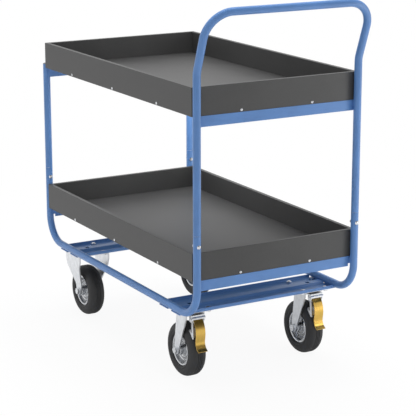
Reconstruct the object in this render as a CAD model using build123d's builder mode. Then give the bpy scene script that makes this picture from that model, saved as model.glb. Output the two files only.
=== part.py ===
"""Two-tier table trolley: tube frame, two board trays, two fixed and two braked swivel casters."""

from build123d import *
import os

os.makedirs("parts", exist_ok=True)

# Trays: outer sizes and boards, and the heights they stand at over the side tubes and each other
TRAY_L = 950.0
TRAY_W = 540.0
TRAY_H = 80.0
WALL_T = 12.0
FLOOR_T = 12.0
BOARD_EDGE = 0.8
LOWER_RISE = 105.5
TIER_PITCH = 460.0

# Tray screws: spacing along the sides and the ends, and sizes
SIDE_SCREW_PITCH = 275.0
END_SCREW_PITCH = 230.0
SCREW_R = 2.0
SCREW_HEAD_R = 4.0
SCREW_HEAD_H = 2.0
SCREW_L = 30.0

# Frame tube, its posts and the sleeve joint above the lower tray
TUBE_R = 11.0
TUBE_WALL = 1.5
POST_PROUD = 2.0
RAIL_BEND_R = 82.0
JOINT_RISE = 53.0
JOINT_SLIT = 1.0
SPIGOT_L = 110.0
SPIGOT_WALL = 2.0
SPIGOT_GAP = 0.15
FRONT_POST_RISE = 11.0
CAP_RIM_H = 2.0
CAP_PLUG_L = 14.0

# Joint bolts across the tubes
JOINT_BOLT_DROP = 30.0
JOINT_BOLT_R = 3.0
JOINT_HEAD_R = 6.0
JOINT_HEAD_H = 3.6
JOINT_NUT_FLATS = 10.0
JOINT_NUT_H = 5.0

# Push handle: start of the lean over the upper tray, then rise and reach of the bar
LEAN_RISE = 39.5
LEAN_R = 60.0
BAR_RISE = 165.5
BAR_REACH = 60.5
BAR_BEND_R = 76.0

# End angles under the trays and the screws that hold the floors down
ANGLE_LEG = 30.0
ANGLE_T = 3.0
ANGLE_ROOT_R = 4.0
NOTCH_W = 12.0
NOTCH_ROOM = 2.0
BOARD_GAP = 0.3
DECK_SCREW_PITCH = 320.0
DECK_SKIN = 2.0

# Cross members: pressed sheet with two lips and a raised bead
MEMBER_INSET = 150.0
MEMBER_W = 130.0
MEMBER_T = 2.5
MEMBER_BEND_R = 3.0
LIP_H = 11.0
BEAD_TOP = 25.0
BEAD_BASE = 36.0
BEAD_H = 7.0
TONGUE_PROUD = 6.0
TONGUE_GAP = 22.0
MEMBER_GAP = 0.4
KING_HOLE_R = 7.0

# Caster plates, their sheet and bolts, and the caster's place inside the side tube
CASTER_INSET = 49.0
CASTER_T = 4.0
PLATE_X = 104.0
PLATE_Y = 108.0
PLATE_CORNER_R = 8.0
BOLT_EDGE = 14.0
M8_R = 4.0
M8_HOLE_R = 4.2
M8_FLATS = 13.0
M8_HEAD_H = 5.3
M8_NUT_H = 6.5
LOW_HEAD_R = 8.0
LOW_HEAD_H = 1.8
BOLT_TIP = 2.0

# Wheels: tyre section over the rim, rim flange and the rings pressed into the rim's face
WHEEL_R = 80.0
TYRE_W = 52.0
TYRE_SHOULDER_R = 19.0
TYRE_FOOT_R = 9.0
TYRE_H = 32.5
RIM_W = 40.0
FLANGE_H = 4.5
FLANGE_T = 2.0
RIM_DISH = 11.0
RING_LAND = 5.0
RING_H = 3.0
HUB_WALL = 6.0

# Axles: sleeve between the fork legs, bolt through it
SLEEVE_R = 10.0
AXLE_R = 6.0
AXLE_FLATS = 18.0
AXLE_HEAD_H = 7.5
AXLE_NUT_H = 10.0
AXLE_TIP = 3.0

# Forks: room beside and above the tyre, bends of the sheet and the round ends
TYRE_SIDE_ROOM = 4.0
TYRE_TOP_ROOM = 35.5
HUB_PLAY = 1.0
FORK_END_R = 11.5
FORK_JOGGLE_R = 20.0
FORK_BEND_R = 5.5
FORK_WAIST_RISE = 22.0

# Fixed fork: full plate width at the shoulder, and legs that start to close in below it
FIXED_TOP_W = 105.0
FIXED_SHOULDER = 22.0
FIXED_FOLD = 45.0

# Swivel head and trailing swivel fork
RACE_R = 37.0
RACE_H = 7.0
RACE_TAPER = 20.0
CROWN_R = 44.0
TRAIL = 18.0
SWIVEL_TOP_W = 62.0
SWIVEL_SHOULDER = 12.0
SWIVEL_FRONT = 34.0
SWIVEL_BACK = 21.0
KING_R = 6.0
KING_HEAD_R = 9.0
KING_HEAD_H = 3.0
KING_FLATS = 18.0
KING_NUT_H = 8.0

# Brake: pin under the front of the crown, pedal bent round the tyre, arm with its shoe
PIN_X = 44.0
PIN_R = 3.0
PIN_HEAD_R = 5.0
PIN_HEAD_H = 2.0
BARREL_R = 6.0
PEDAL_W = 30.0
PEDAL_T = 2.5
PEDAL_BEND_R = 58.0
PEDAL_BULGE_GAP = 37.0
PEDAL_BULGE_AT = 42.0
PEDAL_WAIST_GAP = 4.0
PEDAL_WAIST_AT = 21.0
PEDAL_TIP_GAP = 18.5
PEDAL_TIP_AT = 10.5
PEDAL_TIP_R = 24.0
ARM_W = 10.0
ARM_T = 2.5
SHOE_T = 8.0
SHOE_GAP = 1.8
SHOE_FROM = 38.0
SHOE_TO = 56.0
EAR_T = 3.0
EAR_R = 8.0
CROWN_LIP = 7.0
HOOD_T = 2.5
HOOD_STEP = 5.0
HOOD_DROP = 7.0

# Clearances: running fits, pieces that turn past each other, bolts in holes, seats
RUN_GAP = 0.05
TURN_GAP = 0.5
HOLE_GAP = 0.05
SEAT_GAP = 0.05

# Places that follow from the sizes above, across the trolley and along it
POST_Y = TRAY_W / 2 + POST_PROUD - TUBE_R
POST_X = TRAY_L / 2 + BOARD_GAP + SEAT_GAP + TUBE_R
NUT_REACH = SEAT_GAP + JOINT_NUT_H + BOLT_TIP
DECK_X = (NUT_REACH - BAR_REACH) / 2
FRONT_X = DECK_X - POST_X
REAR_X = DECK_X + POST_X
BAR_X = REAR_X + BAR_REACH
MEMBER_X = POST_X - MEMBER_INSET
CASTER_Y = POST_Y - TUBE_R - CASTER_INSET
TUBE_BORE_R = TUBE_R - TUBE_WALL

# Heights, from the floor up
CROWN_Z = 2 * WHEEL_R + TYRE_TOP_ROOM + CASTER_T
PLATE_Z = CROWN_Z + TURN_GAP + RACE_H
CASTER_H = PLATE_Z + CASTER_T
RAIL_Z = CASTER_H + MEMBER_T + SEAT_GAP + TUBE_R
LOWER_Z = RAIL_Z + LOWER_RISE
UPPER_Z = LOWER_Z + TIER_PITCH
JOINT_Z = LOWER_Z + TRAY_H + JOINT_RISE
JOINT_BOLT_Z = JOINT_Z - JOINT_BOLT_DROP
FRONT_TOP_Z = UPPER_Z + FRONT_POST_RISE
LEAN_Z = UPPER_Z + TRAY_H + LEAN_RISE
BAR_Z = LEAN_Z + BAR_RISE

# Rim, fork and brake sizes, from the tyre and the pedal outwards
RIM_R = WHEEL_R - TYRE_H
FORK_IN = TYRE_W / 2 + TYRE_SIDE_ROOM
FORK_OUT = FORK_IN + CASTER_T
PIN_DROP = HOOD_T + BARREL_R + 2 * TURN_GAP
PIN_Z = CROWN_Z - CASTER_T - PIN_DROP
ARM_IN = PEDAL_W / 2 + SEAT_GAP
EAR_IN = ARM_IN + ARM_T + TURN_GAP
EAR_OUT = EAR_IN + EAR_T
BOLT_GRID_X = PLATE_X - 2 * BOLT_EDGE
BOLT_GRID_Y = PLATE_Y - 2 * BOLT_EDGE

SIDES = {"left": -1, "right": 1}
ENDS = {"front": -1, "rear": 1}
TIERS = {"lower": LOWER_Z, "upper": UPPER_Z}
POSTS = [(DECK_X + end * POST_X, side * POST_Y) for end in ENDS.values() for side in SIDES.values()]
ABOVE = (Align.CENTER, Align.CENTER, Align.MIN)
BELOW = (Align.CENTER, Align.CENTER, Align.MAX)


def save(builder, name):
    """Label a finished piece and write it under its own name."""
    builder.part.label = name
    export_step(builder.part, f"parts/{name}.step")


def place(blank, name, places):
    """Set copies of a blank at the given places and write them as one node."""
    with BuildPart() as piece:
        with Locations(*places):
            add(blank.part)
    save(piece, name)


def dome_bolt(radius, head_r, head_h, length):
    """A dome-head bolt or screw along Z: the head stands on the origin, the shank points down."""
    with BuildPart() as bolt:
        with BuildSketch(Plane.XZ):
            with BuildLine():
                TangentArc((0, head_h), (head_r, 0), tangent=(1, 0))
                Polyline((head_r, 0), (radius, 0), (radius, -length), (0, -length), (0, head_h))
            make_face()
        revolve(axis=Axis.Z)
    return bolt


def hex_bolt(radius, flats, head_h, length):
    """A hexagon bolt along Z: the head hangs under the origin, the shank points up."""
    with BuildPart() as bolt:
        with BuildSketch():
            RegularPolygon(flats / 2, 6, major_radius=False)
        extrude(amount=-head_h)
        Cylinder(radius, length, align=ABOVE)
    return bolt


def hex_nut(radius, flats, height):
    """A hexagon nut that stands on the origin, for a bolt of the given radius."""
    with BuildPart() as nut:
        with BuildSketch():
            RegularPolygon(flats / 2, 6, major_radius=False)
            Circle(radius + HOLE_GAP, mode=Mode.SUBTRACT)
        extrude(amount=height)
    return nut


def side_seats(base_z, side):
    """Outward-facing screw seats on one long side of a tray."""
    z = base_z + FLOOR_T / 2
    turn = (-90 * side, 0, 0)
    return [
        Location((DECK_X + step * SIDE_SCREW_PITCH, side * TRAY_W / 2, z), turn) for step in (-1, 0, 1)
    ]


def end_seats(base_z, end):
    """Outward-facing screw seats on one end of a tray."""
    z = base_z + FLOOR_T / 2
    x = DECK_X + end * TRAY_L / 2
    return [Location((x, side * END_SCREW_PITCH / 2, z), (0, 90 * end, 0)) for side in SIDES.values()]


def deck_seats(base_z, end):
    """Downward-facing screw seats in the middle of one end angle's flat leg."""
    x = DECK_X + end * (TRAY_L / 2 + BOARD_GAP - ANGLE_LEG / 2)
    z = base_z - ANGLE_T
    return [Location((x, side * DECK_SCREW_PITCH / 2, z), (180, 0, 0)) for side in SIDES.values()]


def make_trays():
    """Both trays: floor, two long sides, two ends between them, and the screws that hold them."""
    floor_l = TRAY_L - 2 * WALL_T
    floor_w = TRAY_W - 2 * WALL_T
    deck_l = ANGLE_T + FLOOR_T - DECK_SKIN
    hole_r = SCREW_R + HOLE_GAP
    wall_seats = []
    floor_seats = []
    for tier, z in TIERS.items():
        sides = {name: side_seats(z, side) for name, side in SIDES.items()}
        ends = {name: end_seats(z, end) for name, end in ENDS.items()}
        walls = [seat for group in (*sides.values(), *ends.values()) for seat in group]
        decks = [seat for end in ENDS.values() for seat in deck_seats(z, end)]

        with BuildPart() as floor:
            with Locations((DECK_X, 0, z)):
                Box(floor_l, floor_w, FLOOR_T, align=ABOVE)
            with Locations(*walls):
                Cylinder(hole_r, 2 * (SCREW_L + HOLE_GAP), mode=Mode.SUBTRACT)
            with Locations(*decks):
                Cylinder(hole_r, 2 * (deck_l + HOLE_GAP), mode=Mode.SUBTRACT)
        save(floor, f"{tier}_floor")

        for name, side in SIDES.items():
            with BuildPart() as side_board:
                with Locations((DECK_X, side * (TRAY_W - WALL_T) / 2, z)):
                    Box(TRAY_L, WALL_T, TRAY_H, align=ABOVE)
                chamfer(side_board.edges(), BOARD_EDGE)
                with Locations(*sides[name]):
                    Cylinder(hole_r, 3 * WALL_T, mode=Mode.SUBTRACT)
            save(side_board, f"{tier}_side_{name}")

        for name, end in ENDS.items():
            with BuildPart() as end_board:
                with Locations((DECK_X + end * (TRAY_L - WALL_T) / 2, 0, z)):
                    Box(WALL_T, floor_w, TRAY_H, align=ABOVE)
                chamfer(end_board.edges().filter_by(Axis.Y), BOARD_EDGE)
                with Locations(*ends[name]):
                    Cylinder(hole_r, 3 * WALL_T, mode=Mode.SUBTRACT)
            save(end_board, f"{tier}_end_{name}")

        wall_seats += walls
        floor_seats += decks
    place(dome_bolt(SCREW_R, SCREW_HEAD_R, SCREW_HEAD_H, SCREW_L), "tray_screws", wall_seats)
    place(dome_bolt(SCREW_R, SCREW_HEAD_R, SCREW_HEAD_H, deck_l), "deck_screws", floor_seats)


def bent_tube(points, radii):
    """Frame tube swept along straight runs with tangent bends."""
    with BuildPart() as tube:
        with BuildLine():
            route = FilletPolyline(*points, radius=radii)
        with BuildSketch(Plane(origin=route @ 0, z_dir=route % 0)):
            Circle(TUBE_R)
            Circle(TUBE_BORE_R, mode=Mode.SUBTRACT)
        sweep()
    return tube


def make_frame_tubes():
    """Lower side tubes, front uprights and push handle, with the sleeve joints between them."""
    upper_z = JOINT_Z + JOINT_SLIT
    for name, side in SIDES.items():
        y = side * POST_Y
        ends = [(x, y, JOINT_BOLT_Z) for x in (FRONT_X, REAR_X)]
        rail = [(FRONT_X, y, JOINT_Z), (FRONT_X, y, RAIL_Z), (REAR_X, y, RAIL_Z), (REAR_X, y, JOINT_Z)]
        bent_rail = bent_tube(rail, RAIL_BEND_R)
        with BuildPart() as side_tube:
            add(bent_rail.part)
            with Locations(*[Location(point, (0, 90, 0)) for point in ends]):
                Cylinder(JOINT_BOLT_R + HOLE_GAP, 3 * TUBE_R, mode=Mode.SUBTRACT)
        save(side_tube, f"side_tube_{name}")

        with BuildPart() as upright:
            with BuildSketch(Plane((FRONT_X, y, upper_z))):
                Circle(TUBE_R)
                Circle(TUBE_BORE_R, mode=Mode.SUBTRACT)
            extrude(amount=FRONT_TOP_Z - upper_z)
        save(upright, f"front_upright_{name}")

    corner = (BAR_X, POST_Y, BAR_Z)
    half = [(BAR_X, 0, BAR_Z), corner, (REAR_X, POST_Y, LEAN_Z), (REAR_X, POST_Y, upper_z)]
    half_loop = bent_tube(half, (BAR_BEND_R, LEAN_R))
    bar_l = 2 * (POST_Y - BAR_BEND_R)
    with BuildPart() as handle:
        add(half_loop.part)
        mirror(about=Plane.XZ)
        # One straight bar takes the place of the two halves, so that it is a single round grip
        with Locations((BAR_X, 0, BAR_Z)):
            Box(4 * TUBE_R, bar_l, 4 * TUBE_R, mode=Mode.SUBTRACT)
        with BuildSketch(Plane(origin=(BAR_X, -bar_l / 2, BAR_Z), z_dir=(0, 1, 0))):
            Circle(TUBE_R)
            Circle(TUBE_BORE_R, mode=Mode.SUBTRACT)
        extrude(amount=bar_l)
    save(handle, "push_handle")

    with BuildPart() as cap:
        Cylinder(TUBE_R, CAP_RIM_H, align=ABOVE)
        fillet(cap.edges().sort_by(Axis.Z)[-1], CAP_RIM_H / 2)
        Cylinder(TUBE_BORE_R - SPIGOT_GAP, CAP_PLUG_L, align=BELOW)
    place(cap, "upright_caps", [(FRONT_X, side * POST_Y, FRONT_TOP_Z) for side in SIDES.values()])

    with BuildPart() as spigot:
        Cylinder(TUBE_BORE_R - SPIGOT_GAP, SPIGOT_L)
        Cylinder(TUBE_BORE_R - SPIGOT_GAP - SPIGOT_WALL, SPIGOT_L, mode=Mode.SUBTRACT)
        with Locations(Location((0, 0, -JOINT_BOLT_DROP), (0, 90, 0))):
            Cylinder(JOINT_BOLT_R + HOLE_GAP, 3 * TUBE_R, mode=Mode.SUBTRACT)
    place(spigot, "tube_spigots", [(x, y, JOINT_Z) for x, y in POSTS])

    seat = TUBE_R + SEAT_GAP
    bolt = dome_bolt(JOINT_BOLT_R, JOINT_HEAD_R, JOINT_HEAD_H, 2 * TUBE_R + SEAT_GAP + NUT_REACH)
    place(bolt, "joint_bolts", [Location((x + seat, y, JOINT_BOLT_Z), (0, 90, 0)) for x, y in POSTS])
    nut = hex_nut(JOINT_BOLT_R, JOINT_NUT_FLATS, JOINT_NUT_H)
    place(nut, "joint_nuts", [Location((x - seat, y, JOINT_BOLT_Z), (0, -90, 0)) for x, y in POSTS])


def make_end_angles():
    """End angles between the posts: the flat leg carries the floor, the other leg hangs down."""
    bend_top = RAIL_Z + RAIL_BEND_R
    for tier, z in TIERS.items():
        notch_h = bend_top + NOTCH_ROOM - (z - ANGLE_LEG)
        for name, end in ENDS.items():
            outer = DECK_X + end * (TRAY_L / 2 + BOARD_GAP)
            corner = (outer - end * ANGLE_T, z - ANGLE_T)
            with BuildPart() as angle:
                with BuildSketch(Plane.XZ) as section:
                    with BuildLine():
                        Polyline(
                            (outer, z),
                            (outer - end * ANGLE_LEG, z),
                            (outer - end * ANGLE_LEG, z - ANGLE_T),
                            corner,
                            (outer - end * ANGLE_T, z - ANGLE_LEG),
                            (outer, z - ANGLE_LEG),
                            close=True,
                        )
                    make_face()
                    fillet(section.vertices().sort_by_distance(corner)[0], ANGLE_ROOT_R)
                extrude(amount=POST_Y, both=True)
                with Locations(*deck_seats(z, end)):
                    Cylinder(SCREW_R + HOLE_GAP, 3 * ANGLE_T, mode=Mode.SUBTRACT)
                # The hanging leg is notched where it would meet the bend of the side tube
                if notch_h > 0:
                    with Locations(*[(outer, side * POST_Y, z - ANGLE_LEG) for side in SIDES.values()]):
                        Box(3 * ANGLE_T, 2 * NOTCH_W, 2 * notch_h, mode=Mode.SUBTRACT)
            save(angle, f"{tier}_angle_{name}")


def make_cross_members():
    """Pressed cross members: lips and bead stop at the side tubes, flat tongues pass under them."""
    inner_y = POST_Y - TUBE_R - MEMBER_GAP
    tongue_y = POST_Y + TONGUE_PROUD
    half = MEMBER_W / 2 - MEMBER_T
    flat_z = CASTER_H + MEMBER_T
    tongue_w = half - MEMBER_BEND_R - TONGUE_GAP / 2
    for name, end in ENDS.items():
        x = DECK_X + end * MEMBER_X
        with BuildPart() as member:
            with BuildSketch(Plane.XZ):
                with BuildLine():
                    FilletPolyline(
                        (x - half, CASTER_H + LIP_H),
                        (x - half, flat_z),
                        (x - BEAD_BASE / 2, flat_z),
                        (x - BEAD_TOP / 2, flat_z + BEAD_H),
                        (x + BEAD_TOP / 2, flat_z + BEAD_H),
                        (x + BEAD_BASE / 2, flat_z),
                        (x + half, flat_z),
                        (x + half, CASTER_H + LIP_H),
                        radius=MEMBER_BEND_R,
                    )
                    offset(amount=MEMBER_T, side=Side.RIGHT)
                make_face()
            extrude(amount=inner_y, both=True)
            for row in (-1, 1):
                for side in SIDES.values():
                    start_y = inner_y - tongue_w
                    centre_y = side * (start_y + tongue_y) / 2
                    with Locations((x + row * (TONGUE_GAP + tongue_w) / 2, centre_y, CASTER_H)):
                        Box(tongue_w, tongue_y - start_y, MEMBER_T, align=ABOVE)
            for side in SIDES.values():
                with Locations((x, side * CASTER_Y, CASTER_H)):
                    Cylinder(KING_HOLE_R, 4 * (BEAD_H + MEMBER_T), mode=Mode.SUBTRACT)
                    with GridLocations(BOLT_GRID_X, BOLT_GRID_Y, 2, 2):
                        Cylinder(M8_HOLE_R, 4 * MEMBER_T, mode=Mode.SUBTRACT)
        save(member, f"cross_member_{name}")


def fork_outline(axle_x, back_x, front_x, shoulder_z, top_z):
    """Side view of a fork: a shoulder drawn down to a round end about the axle."""
    with BuildSketch(Plane.XZ) as outline:
        with Locations((axle_x, WHEEL_R)):
            Circle(FORK_END_R)
        with Locations(((back_x + front_x) / 2, shoulder_z)):
            Rectangle(front_x - back_x, top_z - shoulder_z, align=(Align.CENTER, Align.MIN))
        make_hull()
    return outline


def pressed_fork(axle_x, top_w, top_z, fold_z, outline):
    """One pressed sheet: a folded channel seen along X, trimmed to the outline seen along Y."""
    foot_z = WHEEL_R - FORK_END_R
    waist_z = WHEEL_R + FORK_WAIST_RISE
    half = [(FORK_OUT, foot_z), (FORK_OUT, waist_z), (top_w / 2, fold_z), (top_w / 2, top_z)]
    fold = [(-y, z) for y, z in half] + list(reversed(half))
    bends = (FORK_JOGGLE_R, FORK_JOGGLE_R, FORK_BEND_R, FORK_BEND_R, FORK_JOGGLE_R, FORK_JOGGLE_R)
    with BuildPart() as fork:
        with BuildSketch(Plane.YZ):
            with BuildLine():
                FilletPolyline(*fold, radius=bends)
                offset(amount=CASTER_T, side=Side.RIGHT)
            make_face()
        extrude(amount=PLATE_X, both=True)
        extrude(outline.sketch, amount=PLATE_Y, both=True, mode=Mode.INTERSECT)
        with Locations(Location((axle_x, 0, WHEEL_R), (90, 0, 0))):
            Cylinder(AXLE_R + HOLE_GAP, 2 * PLATE_Y, mode=Mode.SUBTRACT)
    return fork


def fixed_fork():
    """Fixed caster: the plate and both legs are one pressing."""
    shoulder_z = CASTER_H - FIXED_SHOULDER
    outline = fork_outline(0, -PLATE_X / 2, PLATE_X / 2, shoulder_z, CASTER_H)
    pressing = pressed_fork(0, FIXED_TOP_W, CASTER_H, CASTER_H - FIXED_FOLD, outline)
    with BuildPart() as fork:
        add(pressing.part)
        with Locations((0, 0, CASTER_H)):
            with GridLocations(BOLT_GRID_X, BOLT_GRID_Y, 2, 2):
                Cylinder(M8_HOLE_R, 3 * CASTER_T, mode=Mode.SUBTRACT)
    return fork


def swivel_plate():
    """Bolted top plate of a swivel caster, with the upper ball race pressed out below it."""
    with BuildPart() as plate:
        with BuildSketch(Plane.XY.offset(PLATE_Z)):
            RectangleRounded(PLATE_X, PLATE_Y, PLATE_CORNER_R)
            with GridLocations(BOLT_GRID_X, BOLT_GRID_Y, 2, 2):
                Circle(M8_HOLE_R, mode=Mode.SUBTRACT)
        extrude(amount=CASTER_T)
        with BuildSketch(Plane.XY.offset(PLATE_Z)):
            Circle(RACE_R)
        extrude(amount=-RACE_H, taper=RACE_TAPER)
        Cylinder(KING_R + HOLE_GAP, 3 * CASTER_H, mode=Mode.SUBTRACT)
    return plate


def king_pin():
    """Pin that carries the swivel fork: head over the plate, nut under the crown."""
    nut_z = CROWN_Z - CASTER_T - TURN_GAP
    with BuildPart() as pin:
        with BuildSketch(Plane.XY.offset(nut_z)):
            RegularPolygon(KING_FLATS / 2, 6, major_radius=False)
        extrude(amount=-KING_NUT_H)
        with Locations((0, 0, CASTER_H)):
            Cylinder(KING_HEAD_R, KING_HEAD_H, align=ABOVE)
            Cylinder(KING_R, CASTER_H - nut_z, align=BELOW)
    return pin


def swivel_fork():
    """Trailing fork: pressed channel, round crown under the race, ears and hood for the brake."""
    shoulder_z = CROWN_Z - SWIVEL_SHOULDER
    hood_z = CROWN_Z - CASTER_T
    lip_x = PIN_X + CROWN_LIP
    outline = fork_outline(-TRAIL, -SWIVEL_BACK, SWIVEL_FRONT, shoulder_z, CROWN_Z)
    pressing = pressed_fork(-TRAIL, SWIVEL_TOP_W, CROWN_Z, shoulder_z, outline)
    with BuildPart() as fork:
        add(pressing.part)
        with Locations((0, 0, CROWN_Z)):
            Cylinder(CROWN_R, CASTER_T, align=BELOW)
        with BuildSketch(Plane.XZ):
            with Locations((0, hood_z)):
                Rectangle(lip_x, CASTER_T, align=Align.MIN)
            with BuildLine():
                FilletPolyline(
                    (PIN_X - BARREL_R, hood_z),
                    (lip_x + HOOD_STEP, hood_z),
                    (lip_x + HOOD_STEP, hood_z - HOOD_DROP),
                    radius=2 * HOOD_T,
                )
                offset(amount=HOOD_T, side=Side.RIGHT)
            make_face()
        extrude(amount=EAR_OUT, both=True)
        for inner in (EAR_IN, -EAR_OUT):
            with BuildSketch(Plane.XZ.offset(inner)):
                with Locations((PIN_X, PIN_Z)):
                    Circle(EAR_R)
                    Rectangle(2 * EAR_R, PIN_DROP, align=(Align.CENTER, Align.MIN))
            extrude(amount=EAR_T)
        with Locations(Location((PIN_X, 0, PIN_Z), (90, 0, 0))):
            Cylinder(PIN_R + HOLE_GAP, 2 * PLATE_Y, mode=Mode.SUBTRACT)
        Cylinder(KING_R + RUN_GAP, 3 * CASTER_H, mode=Mode.SUBTRACT)
    return fork


def tyre_point(gap, angle):
    """A point off the tread of the trailing wheel, at an angle above the axle's level."""
    spot = Vector(WHEEL_R + gap, 0).rotate(Axis.Z, angle)
    return (spot.X - TRAIL, spot.Y + WHEEL_R)


def brake_pedal():
    """Pedal strip: rolled round its pin, bulged out, drawn in to the tyre and flared at the tip."""
    with BuildPart() as pedal:
        with BuildSketch(Plane.XZ):
            with BuildLine():
                FilletPolyline(
                    (PIN_X + BARREL_R, PIN_Z),
                    tyre_point(PEDAL_BULGE_GAP, PEDAL_BULGE_AT),
                    tyre_point(PEDAL_WAIST_GAP, PEDAL_WAIST_AT),
                    tyre_point(PEDAL_TIP_GAP, PEDAL_TIP_AT),
                    radius=(PEDAL_BEND_R, PEDAL_TIP_R),
                )
                offset(amount=PEDAL_T, side=Side.RIGHT)
            make_face()
            with Locations((PIN_X, PIN_Z)):
                Circle(BARREL_R)
                Circle(PIN_R + RUN_GAP, mode=Mode.SUBTRACT)
        extrude(amount=PEDAL_W / 2, both=True)
    return pedal


def brake_arm():
    """Two cheeks beside the pedal that carry a curved shoe off the tread."""
    shoe_r = WHEEL_R + SHOE_GAP
    sweep_angle = SHOE_TO - SHOE_FROM
    with BuildPart() as arm:
        with BuildSketch(Plane.XZ):
            with BuildLine():
                tread = CenterArc((-TRAIL, WHEEL_R), shoe_r, SHOE_FROM, sweep_angle)
                back = CenterArc((-TRAIL, WHEEL_R), shoe_r + SHOE_T, SHOE_FROM, sweep_angle)
                Line(tread @ 0, back @ 0)
                Line(tread @ 1, back @ 1)
            make_face()
        extrude(amount=ARM_IN + ARM_T, both=True)
        for inner in (ARM_IN, -ARM_IN - ARM_T):
            with BuildSketch(Plane.XZ.offset(inner)):
                with Locations((PIN_X, PIN_Z)):
                    Circle(ARM_W / 2)
                with Locations(tyre_point(SHOE_GAP + SHOE_T / 2, SHOE_FROM)):
                    Circle(SHOE_T / 2)
                make_hull()
                with Locations((PIN_X, PIN_Z)):
                    Circle(PIN_R + RUN_GAP, mode=Mode.SUBTRACT)
            extrude(amount=ARM_T)
    return arm


def pedal_pin():
    """Headed pin through both ears."""
    with BuildPart() as pin:
        with Locations(Location((PIN_X, 0, PIN_Z), (90, 0, 0))):
            Cylinder(PIN_R, 2 * EAR_OUT)
        for side in SIDES.values():
            with Locations(Location((PIN_X, side * EAR_OUT, PIN_Z), (-90 * side, 0, 0))):
                Cylinder(PIN_HEAD_R, PIN_HEAD_H, align=ABOVE)
    return pin


def tyre_blank():
    """Tyre turned about its axle: round shoulders, and a bead that sits between the rim flanges."""
    with BuildPart() as tyre:
        with BuildSketch() as section:
            with Locations((RIM_R, 0)):
                Rectangle(WHEEL_R - RIM_R, TYRE_W, align=(Align.MIN, Align.CENTER))
            fillet(section.vertices().group_by(Axis.X)[-1], TYRE_SHOULDER_R)
            fillet(section.vertices().group_by(Axis.X)[0], TYRE_FOOT_R)
            with Locations((RIM_R - FLANGE_H, 0)):
                bead_w = RIM_W - 2 * FLANGE_T - 2 * SEAT_GAP
                Rectangle(2 * FLANGE_H, bead_w, align=(Align.MIN, Align.CENTER))
        revolve(axis=Axis.Y)
    return tyre


def rim_blank():
    """Rim turned about its axle: flanges, dished faces with pressed rings, hub bored for the sleeve."""
    bore_r = SLEEVE_R + RUN_GAP
    hub_y = FORK_IN - HUB_PLAY
    face_y = RIM_W / 2
    disc_y = face_y - RIM_DISH
    flange_r = RIM_R - SEAT_GAP
    seat_r = RIM_R - FLANGE_H - SEAT_GAP
    hub_r = SLEEVE_R + HUB_WALL
    pitch = (seat_r - FLANGE_T - hub_r - RING_LAND) / 4
    rings = []
    for ring_r in (hub_r + RING_LAND, hub_r + RING_LAND + 2 * pitch):
        rings += [(ring_r, disc_y), (ring_r + pitch / 2, disc_y + RING_H), (ring_r + pitch, disc_y)]
    with BuildPart() as rim:
        with BuildSketch():
            with BuildLine():
                Polyline(
                    (bore_r, 0),
                    (bore_r, hub_y),
                    (hub_r, hub_y),
                    (hub_r, disc_y),
                    *rings,
                    (seat_r - FLANGE_T, face_y),
                    (flange_r, face_y),
                    (flange_r, face_y - FLANGE_T),
                    (seat_r, face_y - FLANGE_T),
                    (seat_r, 0),
                    close=True,
                )
            make_face()
        revolve(axis=Axis.Y)
        mirror(about=Plane.XZ)
    return rim


def axle_sleeve():
    """Spacer tube that the hub turns on, clamped between the fork legs."""
    with BuildPart() as sleeve:
        with BuildSketch(Plane.XZ):
            Circle(SLEEVE_R)
            Circle(AXLE_R + HOLE_GAP, mode=Mode.SUBTRACT)
        extrude(amount=FORK_IN, both=True)
    return sleeve


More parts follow.
